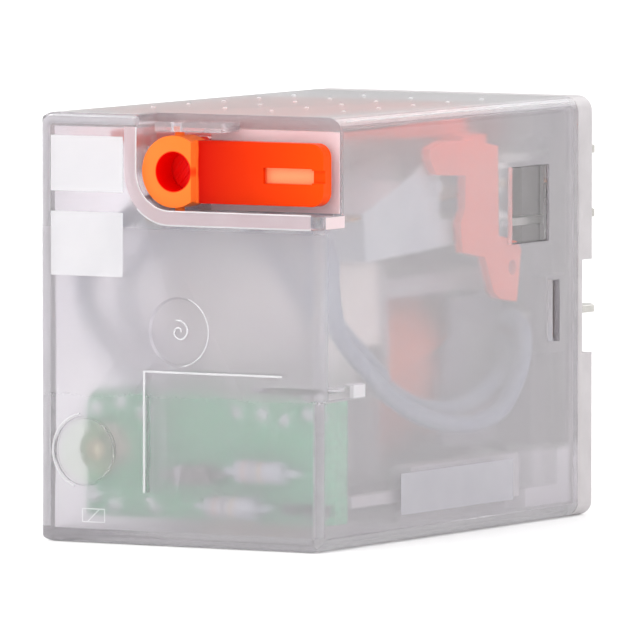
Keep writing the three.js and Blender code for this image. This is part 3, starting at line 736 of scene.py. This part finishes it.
def gate_dish(material, depth):
    """Cutter for the shallow round dish left by the moulding gate."""
    profile = [
        (0.0001, -0.3), (GATE_RADIUS + 0.1, -0.3), (GATE_RADIUS, 0.0), (GATE_RADIUS - 0.12, depth),
        (0.0001, depth * 0.8),
    ]
    return lathe("gate_cutter", profile, GATE, "Y", material, 64)


# Polished window in each side wall: depth and z ranges. Its pane is a little smaller and set back.
WINDOW_DEPTH = (24.9, 29.8)
WINDOW_Z = (18.3, 23.3)
PANE_GAP = 0.03
PANE_SETBACK = 0.12
SIDE_WALL = 0.9


def window_cutter(material):
    """Cutter for the windows in both side walls, with room past the walls' faces."""
    outside = cad_box[1].x / MM + 1
    inside = cad_box[1].x / MM - SIDE_WALL - 0.2
    boxes = [((inside, outside), WINDOW_DEPTH, WINDOW_Z), ((-outside, -inside), WINDOW_DEPTH, WINDOW_Z)]
    return slabs("window_cutter", boxes, material, 0)


def make_side_panes():
    """Clear polished pane of the cover's wall in each window."""
    outer = cad_box[1].x / MM - PANE_SETBACK
    inner = cad_box[1].x / MM - SIDE_WALL + PANE_SETBACK / 2
    depth = (WINDOW_DEPTH[0] + PANE_GAP, WINDOW_DEPTH[1] - PANE_GAP)
    height = (WINDOW_Z[0] + PANE_GAP, WINDOW_Z[1] - PANE_GAP)
    material = polished_pane()
    for number, x_range in enumerate([(inner, outer), (-outer, -inner)], start=1):
        pane = slabs(f"side_pane_{number}", [(x_range, depth, height)], material, 0.05)
        on_cover(pane)


def make_cover():
    """Frosted cover with its two windows, gate dish and lens groove cut into it."""
    material = frosted_cover()
    cover = refine("cover", material, bevel=0)
    carve(cover, window_cutter(material))
    carve(cover, gate_dish(material, 0.18))
    carve(cover, lens_groove(material, LENS_RING_RADIUS - 0.25, 0.12, 0.12))
    shade_smooth(cover.data)
    add_bevel(cover, 0.09, 2)


# Recess in each side of the plug, which bares the edges of the outer blades.
PLUG_RECESS = ((7.6, 9.8), (30.0, 32.9), (17.9, 24.9))


def make_base():
    """Base with a recess cut into each side of its plug."""
    material = base_polymer()
    base = refine("base", material, bevel=0)
    x_range, depth_range, z_range = PLUG_RECESS
    mirrored = (-x_range[1], -x_range[0])
    boxes = [(x_range, depth_range, z_range), (mirrored, depth_range, z_range)]
    carve(base, slabs("recess_cutter", boxes, material, 0))
    shade_smooth(base.data)
    add_bevel(base, 0.1, 2)


def make_gate_mark(material):
    """Vestige of the moulding gate: a short raised curl in the middle of the dish."""
    path = []
    steps = 40
    for step in range(steps + 1):
        turn = step / steps
        angle = turn * 2.6 * math.pi
        reach = 0.12 + 0.62 * turn
        path.append(GATE + Vector((reach * math.cos(angle), 0.09, reach * math.sin(angle))) * MM)
    mark = link_mesh("gate_mark", tube_mesh("gate_mark", path, 0.06, 8), material)
    on_cover(mark)


# Columns and rows of the domes on the top face, and how far every second column is set back.
PIP_COLUMNS = (-6.6, -2.2, 2.2, 6.6)
PIP_DEPTHS = (8.0, 12.5, 17.0, 21.5, 26.0)
PIP_STAGGER = 1.6


def make_top_pips(material):
    """Rows of low domes on the cover's top face, with every second column set back."""
    top = cad_box[1].z / MM
    radius, rise, rings = 0.15, 0.09, 5
    dome = [(radius, -0.02)]
    for step in range(rings + 1):
        angle = step / rings * math.pi / 2
        dome.append((max(radius * math.cos(angle), 0.001), rise * math.sin(angle)))
    dome.append((0.001, -0.02))
    for row, depth in enumerate(PIP_DEPTHS):
        for column, x in enumerate(PIP_COLUMNS):
            name = f"top_pip_{row * len(PIP_COLUMNS) + column + 1}"
            pip = lathe(name, dome, at(x, depth + PIP_STAGGER * (column % 2), top), "Z", material, 16)
            on_cover(pip)


# Where the stiffening ribs meet the front wall, pale lines are laid on the face as painted highlights.
RIB_HIGHLIGHTS = [((-2.62, -2.46), (3.4, 11.2)), ((-2.46, 7.6), (11.07, 11.22))]


def make_rib_highlights(material):
    boxes = [(x_range, (-0.012, 0.01), z_range) for x_range, z_range in RIB_HIGHLIGHTS]
    lines = slabs("rib_highlights", boxes, material, 0.004)
    on_cover(lines)


def arc(centre, radius, start, end, steps=40):
    """Points along an arc in the front view, its angles in degrees from +X towards +Z."""
    path = []
    for step in range(steps + 1):
        angle = math.radians(start + (end - start) * step / steps)
        path.append(centre + Vector((radius * math.cos(angle), 0, radius * math.sin(angle))) * MM)
    return path


def make_rim_highlights(material):
    """Painted highlights: raised pale arcs on the dish and the lens where the light catches them, and along
    the edges of the pocket.
    """
    eye = at(LEVER_X, 0, LEVER_Z)
    inner = [at(LEVER_X - POCKET_RIM, 0, BAND_TOP), *arc(eye, POCKET_RIM, 180, 270)]
    outer = arc(eye, POCKET_RIM + SIDE_WALL, 225, 270)
    rims = {
        "gate_rim_highlight": (arc(GATE, GATE_RADIUS, -80, 70), 0.05),
        "lens_rim_highlight": (arc(LENS_RING, LENS_RING_RADIUS, 100, 250), 0.08),
        "pocket_inner_rim_highlight": ([*inner, at(BAND_END, 0, LEVER_Z - POCKET_RIM)], 0.05),
        "pocket_outer_rim_highlight": ([*outer, at(BAND_END, 0, LEVER_Z - POCKET_RIM - SIDE_WALL)], 0.05),
    }
    for name, (path, radius) in rims.items():
        rim = link_mesh(name, tube_mesh(name, path, radius, 10), material)
        on_cover(rim)


# Rounding of the cover's long edges and of its front ones, and the painted highlight lines laid along them.
LONG_ROUNDING = 1.0
FRONT_ROUNDING = 0.7
FINE_LINE = 0.05
CORE_INSET = 0.45
CORE_RADIUS = 0.28
POCKET_SIDE_X = -3.4
POCKET_BACK_DEPTH = 3.8
COVER_END_DEPTH = 33.2


def ridge(rounding):
    """How far the middle of a rounded edge lies inside both of its faces."""
    return rounding * (1 - math.sqrt(0.5)) + 0.01


def make_edge_highlights(material):
    """Painted highlights: pale lines on the cover's top edges, and a pale core in its front left and top
    left edges.
    """
    half = cad_box[1].x / MM
    height = cad_box[1].z / MM
    long, front = ridge(LONG_ROUNDING), ridge(FRONT_ROUNDING)
    side, top, left = half - long, height - long, half - LONG_ROUNDING
    bend = at(-left, CORE_INSET, height - LONG_ROUNDING)
    lines = {
        "edge_highlight_front": [at(-left, front, height - front), at(POCKET_SIDE_X, front, height - front)],
        "edge_highlight_side_1": [at(side, POCKET_BACK_DEPTH, top), at(side, COVER_END_DEPTH, top)],
        "edge_highlight_side_2": [at(-side, LONG_ROUNDING, top), at(-side, COVER_END_DEPTH, top)],
        "edge_core_highlight": [
            at(CORE_INSET - half, CORE_INSET, LONG_ROUNDING),
            *arc(bend, LONG_ROUNDING - CORE_INSET, 180, 90, 12),
            at(POCKET_SIDE_X, CORE_INSET, height - CORE_INSET),
        ],
    }
    for name, path in lines.items():
        radius = CORE_RADIUS if name == "edge_core_highlight" else FINE_LINE
        line = link_mesh(name, tube_mesh(name, path, radius, 12), material)
        on_cover(line)


# Skins of the pocket tinted pink as painted glow of the orange lever: on its back, behind the tab, and on
# the +X end of its lower wall.
POCKET_SKINS = [
    ((0.9, 10.3), (2.62, 2.69), (21.42, 26.6)),
    ((10.39, 10.412), (0.7, 3.1), (20.52, 21.28)),
]

# The band round the pocket's wall: its top, its +X end and how far it stands out.
BAND_TOP = 26.7
BAND_END = 9.7
BAND_RISE = 0.01


def make_pocket_skins(material):
    skins = slabs("pocket_skins", POCKET_SKINS, material, 0.01)
    on_cover(skins)


def make_pocket_band(material):
    """Faint skin on the front of the pocket's wall, round its corner and along its foot, tinted pink as
    painted glow of the orange lever.
    """
    inner_radius = POCKET_RIM + 0.05
    outer_radius = POCKET_RIM + SIDE_WALL - 0.05
    edges = []
    corners = [
        (-BAND_RISE, inner_radius), (-BAND_RISE, outer_radius),
        (BAND_RISE, outer_radius), (BAND_RISE, inner_radius),
    ]
    for depth, radius in corners:
        eye = at(LEVER_X, depth, LEVER_Z)
        top = at(LEVER_X - radius, depth, BAND_TOP)
        edges.append([top, *arc(eye, radius, 180, 270), at(BAND_END, depth, LEVER_Z - radius)])
    work = bmesh.new()
    sections = [[work.verts.new(point) for point in section] for section in zip(*edges)]
    for near, far in zip(sections, sections[1:]):
        for corner in range(4):
            after = (corner + 1) % 4
            work.faces.new((near[corner], near[after], far[after], far[corner]))
    work.faces.new(sections[0])
    work.faces.new(list(reversed(sections[-1])))
    bmesh.ops.recalc_face_normals(work, faces=work.faces)
    mesh = bpy.data.meshes.new("pocket_band")
    work.to_mesh(mesh)
    work.free()
    band = link_mesh("pocket_band", mesh, material)
    on_cover(band)


# Solid end of the rail beside the board's shelf, just clear of the rail itself.
STUB = ((8.74, 9.48), (4.9, 6.46), (9.54, 10.46))


def make_shelf_stub(material):
    stub = slabs("shelf_stub", [STUB], material, 0.08)
    on_cover(stub)


# Plain whitish fields on the cover: two on the front face and one low on each side.
FRONT_FIELDS = [((-9.45, -4.1), (22.5, 26.05)), ((-9.45, -4.1), (17.1, 21.2))]
SIDE_FIELD = ((10.3, 25.0), (1.75, 4.42))
FIELD_RISE = 0.015


def make_marking_fields(front_skin, side_skin):
    half = -cad_box[0].x / MM
    fields = [((x_range, (-FIELD_RISE, 0.01), z_range), front_skin) for x_range, z_range in FRONT_FIELDS]
    fields.append((((half - 0.01, half + FIELD_RISE), *SIDE_FIELD), side_skin))
    fields.append((((-half - FIELD_RISE, -half + 0.01), *SIDE_FIELD), side_skin))
    for number, (ranges, skin) in enumerate(fields, start=1):
        field = slabs(f"marking_field_{number}", [ranges], skin, 0.004)
        on_cover(field)


def make_coil_symbol(material):
    """Printed circuit symbol of a coil: a flat box with one slanted stroke."""
    centre_x, centre_z = -6.3, 1.8
    half_x, half_z, stroke, rise = 0.82, 0.42, 0.034, 0.012
    # Half the slanted stroke's length, and how far it runs across while it climbs half the box's height.
    slant_half, slant_run = 0.589, 0.451
    left, right = centre_x - half_x, centre_x + half_x
    low, high = centre_z - half_z, centre_z + half_z
    skin = (-rise, 0.01)
    lines = [
        ((left, right), skin, (low - stroke, low + stroke)),
        ((left, right), skin, (high - stroke, high + stroke)),
        ((left - stroke, left + stroke), skin, (low, high)),
        ((right - stroke, right + stroke), skin, (low, high)),
    ]
    symbol = slabs("coil_symbol", lines, material, 0.004)
    bar = ((-slant_half, slant_half), skin, (-stroke, stroke))
    slant = slabs("coil_symbol_slant", [bar], material, 0.004)
    angle = math.atan2(half_z, slant_run)
    middle = at(centre_x, 0, centre_z)
    for corner in slant.data.vertices:
        x = corner.co.x * math.cos(angle) - corner.co.z * math.sin(angle)
        z = corner.co.x * math.sin(angle) + corner.co.z * math.cos(angle)
        corner.co = Vector((middle.x + x, corner.co.y, middle.z + z))
    for piece in (symbol, slant):
        on_cover(piece)


# ---------------------------------------------------------------- coil and leads

# A point on the coil's axis, and the winding's depths, outer radius and number of turns.
COIL_CENTRE = at(0, 0, 10.0)
WINDING_SPAN = (13.78, 26.22)
WINDING_RADIUS = 5.62
TURNS = 62


def make_winding():
    """Enamelled wire, layer-wound, under a band of tape with a lapped end."""
    start, end = WINDING_SPAN
    pitch = (end - start) / TURNS
    profile = [(2.96, start)]
    for turn in range(TURNS):
        for share, height in ((0.0, 0.0), (0.25, 0.055), (0.5, 0.08), (0.75, 0.055)):
            profile.append((WINDING_RADIUS + height, start + pitch * (turn + share)))
    profile += [(WINDING_RADIUS, end), (2.96, end), (2.96, start)]
    wire = lathe("wound_wire", profile, COIL_CENTRE, "Y", copper_turns(), 80)
    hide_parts("coil_winding")
    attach(wire, "housing")
    outer, inner = WINDING_RADIUS + 0.16, WINDING_RADIUS + 0.085
    band = [
        (inner, start + 1.1), (outer, start + 1.2), (outer + 0.015, start + 4.5), (outer, end - 4.2),
        (inner, end - 4.1), (inner, start + 1.1),
    ]
    tape = lathe("winding_tape", band, COIL_CENTRE, "Y", coil_tape(), 80)
    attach(tape, "housing")


# The same routes as the CAD model's leads, as [distance from the middle plane, depth, height].
OUTER_LEAD = [
    (6.6, 6.55, 20.75), (7.1, 5.3, 20.1), (8.3, 3.9, 18.6), (8.85, 3.1, 16.6), (8.85, 4.0, 13.8),
    (8.85, 7.6, 11.0), (8.85, 11.0, 9.2), (8.85, 14.5, 7.9), (8.85, 18.4, 7.1), (8.85, 22.4, 6.95),
    (8.85, 25.7, 7.9), (8.75, 28.2, 10.8), (7.9, 29.3, 12.9), (6.8, 29.45, 13.4),
]
INNER_LEAD = [
    (2.2, 6.55, 20.75), (2.9, 5.5, 20.2), (4.6, 4.6, 18.8), (6.5, 4.6, 16.6), (7.4, 6.0, 14.0),
    (7.55, 9.2, 11.7), (7.55, 13.0, 9.5), (7.55, 17.0, 8.2), (7.55, 21.4, 7.9), (7.55, 25.2, 8.7),
    (7.5, 28.3, 10.2), (6.9, 29.45, 11.2), (5.0, 29.5, 12.2), (2.4, 29.45, 13.1),
]
COIL_LEAD = [
    (6.5, 5.1, 2.7), (6.5, 9.0, 2.7), (6.6, 14.0, 2.7), (6.6, 20.0, 2.7), (6.7, 25.0, 2.9),
    (7.2, 28.0, 3.6), (6.4, 29.45, 4.8), (4.6, 29.5, 6.2), (2.4, 29.5, 6.7),
]


def make_leads():
    """Insulated leads."""
    sleeve = lead_sleeve()
    for number, (route, side) in enumerate(
        [(OUTER_LEAD, -1), (INNER_LEAD, -1), (INNER_LEAD, 1), (OUTER_LEAD, 1)], start=1,
    ):
        path = smooth_route([at(side * x, depth, z) for x, depth, z in route])
        name = f"lead_wire_{number}_finish"
        lead = link_mesh(name, tube_mesh(name, path, 0.58), sleeve)
        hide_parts(f"lead_wire_{number}")
        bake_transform(lead)
    dark = lacquer("coil_lead_sleeve", "2B2927", "3A3835")
    for number, side in ((1, -1), (2, 1)):
        path = smooth_route([at(side * x, depth, z) for x, depth, z in COIL_LEAD])
        name = f"coil_lead_{number}_finish"
        lead = link_mesh(name, tube_mesh(name, path, 0.32, 14), dark)
        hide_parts(f"coil_lead_{number}")
        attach(lead, "housing")


def make_return_spring(material):
    """Fine helix between the bobbin and the armature, with closed end turns."""
    path = []
    turns, radius, steps = 3, 0.8, 150
    for step in range(steps + 1):
        share = step / steps
        angle = 2 * math.pi * turns * share
        path.append(at(radius * math.cos(angle), 11.35 + 1.35 * share, 15.1 + radius * math.sin(angle)))
    spring = link_mesh("return_spring_finish", tube_mesh("return_spring_finish", path, 0.14, 10), material)
    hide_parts("return_spring")
    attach(spring, "housing")
    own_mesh(spring)


# ---------------------------------------------------------------- indicator board

# Depth of the board's front face, and its solder pads in the front view.
BOARD_FRONT = 3.1
PAD_PLACES = [
    (-7.6, 8.4), (-5.9, 8.8), (-4.1, 8.2), (2.9, 8.6), (4.6, 8.6), (6.4, 8.2), (8.2, 8.6),
    (-3.4, 2.3), (-6.3, 2.3), (-7.8, 2.9), (8.3, 2.3), (2.4, 2.2),
]


def make_board():
    """Green board with its traces, solder pads and two small chips."""
    refine("circuit_board", board_laminate(), 0.05)
    trace_green = lacquer("board_trace", "3BB07A", "52C48E")
    runs = [
        ((-7.6, -4.1), 8.4), ((-0.8, 2.9), 8.9), ((4.6, 8.2), 7.6), ((-3.4, -0.9), 4.5), ((3.2, 8.3), 5.2),
        ((-7.8, -5.4), 3.2), ((2.4, 4.2), 2.3),
    ]
    uprights = [(-7.6, 3.2, 8.4), (2.9, 5.2, 8.9), (8.2, 2.3, 7.6), (-3.4, 2.3, 4.5)]
    skin = (BOARD_FRONT - 0.03, BOARD_FRONT + 0.02)
    half = 0.14
    strips = [(span, skin, (z - half, z + half)) for span, z in runs]
    strips += [((x - half, x + half), skin, (low, high)) for x, low, high in uprights]
    traces = slabs("board_traces", strips, trace_green, 0.01)
    solder = brushed_metal("solder", "B9BBBD", "DADCDD", (0.18, 0.32), (1, 1, 1), 0.1)
    pads = []
    for number, (x, z) in enumerate(PAD_PLACES, start=1):
        profile = [(0.001, -0.2), (0.18, -0.17), (0.36, -0.06), (0.46, 0.0), (0.46, 0.02), (0.001, 0.02)]
        pads.append(lathe(f"solder_pad_{number}", profile, at(x, BOARD_FRONT, z), "Y", solder, 20))
    chip_black = lacquer("chip_resin", "262626", "343434")
    chips = slabs(
        "surface_parts",
        [((6.3, 7.4), (2.55, 3.1), (2.2, 2.9)), ((7.8, 8.9), (2.55, 3.1), (2.2, 2.9))],
        chip_black, 0.04,
    )
    for piece in (traces, chips, *pads):
        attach(piece, "housing")


# X of each resistor's middle, and the bands on each as (offset in X, colour).
RESISTOR_CENTRES = (5.1, 3.0)
RESISTOR_BANDS = [(-1.0, "C9A08C"), (-0.4, "9A9A98"), (0.2, "D0B68C")]


def make_axial_parts():
    """Two banded resistors and a glass diode."""
    for number, centre in enumerate(RESISTOR_CENTRES, start=1):
        bands = [(centre + offset, 0.28, code) for offset, code in RESISTOR_BANDS]
        body = lacquer(f"resistor_lacquer_{number}", "B9C3C8", "D3DADD", bands)
        refine(f"series_resistor_{number}", body, 0.14, 4)
    glass = lacquer("diode_glass", "5E5A57", "726D69", [(-0.85, 0.3, "C9CCCE")])
    refine("protection_diode", glass, 0.12, 4)


def make_indicator():
    """Clear domed lens over a lead frame with a reflector cup."""
    dome = []
    steps = 14
    for step in range(steps + 1):
        angle = step / steps * math.pi / 2
        dome.append((max(1.45 * math.sin(angle), 0.001), -0.95 * math.cos(angle)))
    dome += [(1.45, 0.42), (1.5, 0.5), (1.75, 0.52), (1.75, 0.83), (1.7, 0.85), (0.001, 0.85)]
    centre = at(-6.9, 2.2, 5.9)
    lens = lathe("indicator_lens", dome, centre, "Y", lens_resin(), 48)
    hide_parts("indicator_led")
    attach(lens, "housing")
    cup = [(0.001, -0.1), (0.3, -0.1), (0.55, -0.4), (0.62, -0.4), (0.62, 0.3), (0.001, 0.3)]
    metal = brushed_metal("lead_frame", "C9A9A2", "E4CBC3", (0.2, 0.35), (1, 1, 1), 0.1)
    reflector = lathe("indicator_cup", cup, centre, "Y", metal, 32)
    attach(reflector, "housing")


# ---------------------------------------------------------------- the remaining parts

# Depth of the slider's pad, the slope of its ribs, their places across it and the circle they reach.
PAD_FACE = 2.5
PAD_RIB_SLOPE = math.radians(52)
PAD_RIB_OFFSETS = (-0.8, -0.4, 0.0, 0.4, 0.8)
PAD_RIB_CIRCLE = 1.18


def make_pad_ribs(material):
    """Slanted grip ribs on the slider's pad, seen through the lever's eye."""
    along = Vector((math.cos(PAD_RIB_SLOPE), 0, math.sin(PAD_RIB_SLOPE)))
    across = Vector((-math.sin(PAD_RIB_SLOPE), 0, math.cos(PAD_RIB_SLOPE)))
    for number, offset in enumerate(PAD_RIB_OFFSETS, start=1):
        reach = math.sqrt(PAD_RIB_CIRCLE ** 2 - offset ** 2)
        middle = at(LEVER_X, PAD_FACE, LEVER_Z) + across * offset * MM
        path = [middle + along * reach * MM * share for share in (-1.0, -0.5, 0.0, 0.5, 1.0)]
        name = f"pad_rib_{number}"
        rib = link_mesh(name, tube_mesh(name, path, 0.07, 8), material)
        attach(rib, "test_slider")


def make_moving_parts():
    """Test lever, and test slider with the ribs on its pad."""
    refine("test_lever", lever_plastic(), 0.12, 3)
    slider_material = slider_plastic()
    refine("test_slider", slider_material, 0.08, 2)
    make_pad_ribs(slider_material)


def make_magnet(bronze):
    """The magnet's metal parts and return spring, the bobbin and its tray, and the armature's card."""
    plated = brushed_metal("plated_steel", "68646A", "8A868C", (0.3, 0.5), (1, 0.2, 1))
    bright = brushed_metal("bright_nickel", "C9C5C2", "E6E2DE", (0.28, 0.45), (1, 1, 0.2))
    spring_steel = brushed_metal("spring_steel", "8A8886", "B5B3B0", (0.22, 0.38), (1, 1, 1), 0.1)
    refine("yoke", plated, 0.12, 2)
    refine("core", plated, 0.08, 2)
    refine("armature", bright, 0.12, 2)
    refine("armature_retainer", bronze, 0.04)
    make_return_spring(spring_steel)
    refine("bobbin", bobbin_nylon(), 0.1, 2)
    white = moulded_plastic("tray_nylon", "BFBBBE", "D0CCCE")
    refine("coil_cradle", white, 0.12, 2)
    card = moulded_plastic("card_nylon", "B9C0C6", "CBD1D5")
    refine("contact_carrier", card, 0.12, 2)


def make_contacts(bronze):
    """Blades, contacts and moving springs of the four poles, and the coil's two blades."""
    tinned = brushed_metal("tinned_strip", "A9A7A3", "CFCDC8", (0.2, 0.38), (1, 0.12, 1))
    silver = brushed_metal("contact_silver", "BDBBB6", "E0DEDA", (0.15, 0.3), (1, 1, 1), 0.12)
    for pole in range(1, 5):
        for kind in ("nc_blade", "no_blade", "com_blade"):
            refine(f"{kind}_{pole}", tinned, 0.07)
        for kind in ("nc_contact", "no_contact", "moving_contact"):
            refine(f"{kind}_{pole}", silver, 0.1, 3)
        refine(f"moving_spring_{pole}", bronze, 0.04)
    for number in (1, 2):
        refine(f"coil_blade_{number}", tinned, 0.07)


def make_floor():
    """Plain floor, six metres across."""
    half = 3.0
    mesh = bpy.data.meshes.new("floor")
    corners = [(-half, -half, 0), (half, -half, 0), (half, half, 0), (-half, half, 0)]
    mesh.from_pydata(corners, [], [(0, 1, 2, 3)])
    link_mesh("floor", mesh, studio_floor())


make_camera()
make_studio()
make_floor()
make_cover()
make_side_panes()
make_base()
# Pale skin for the markings, pips, gate curl and coil symbol, and for the painted highlights on the rims,
# rib lines and edges.
whitened_and_highlights = frosted_skin("marking_field", "F4F3F6", "FCFBFD", 0.5)
side_skin = frosted_skin("side_field", "D9D7DE", "E2E0E6", 0.6)
# Pink skins carrying the orange lever's painted glow in its pocket.
painted_glow = frosted_skin("pocket_painted_glow", "F6DCE0", "FBE8EA", 0.4)
wall_painted_glow = frosted_skin("wall_painted_glow", "F4E0E5", "FAEAEE", 0.66)
ink = printed_ink()
make_gate_mark(whitened_and_highlights)
make_marking_fields(whitened_and_highlights, side_skin)
make_rib_highlights(whitened_and_highlights)
make_rim_highlights(whitened_and_highlights)
make_edge_highlights(whitened_and_highlights)
make_pocket_skins(painted_glow)
make_pocket_band(wall_painted_glow)
make_shelf_stub(ink)
make_top_pips(whitened_and_highlights)
make_coil_symbol(whitened_and_highlights)
make_winding()
make_leads()
make_board()
make_axial_parts()
make_indicator()
make_moving_parts()
bronze_strip = brushed_metal("bronze_strip", "A67B47", "CFA46C", (0.22, 0.4), (1, 0.15, 1))
make_magnet(bronze_strip)
make_contacts(bronze_strip)
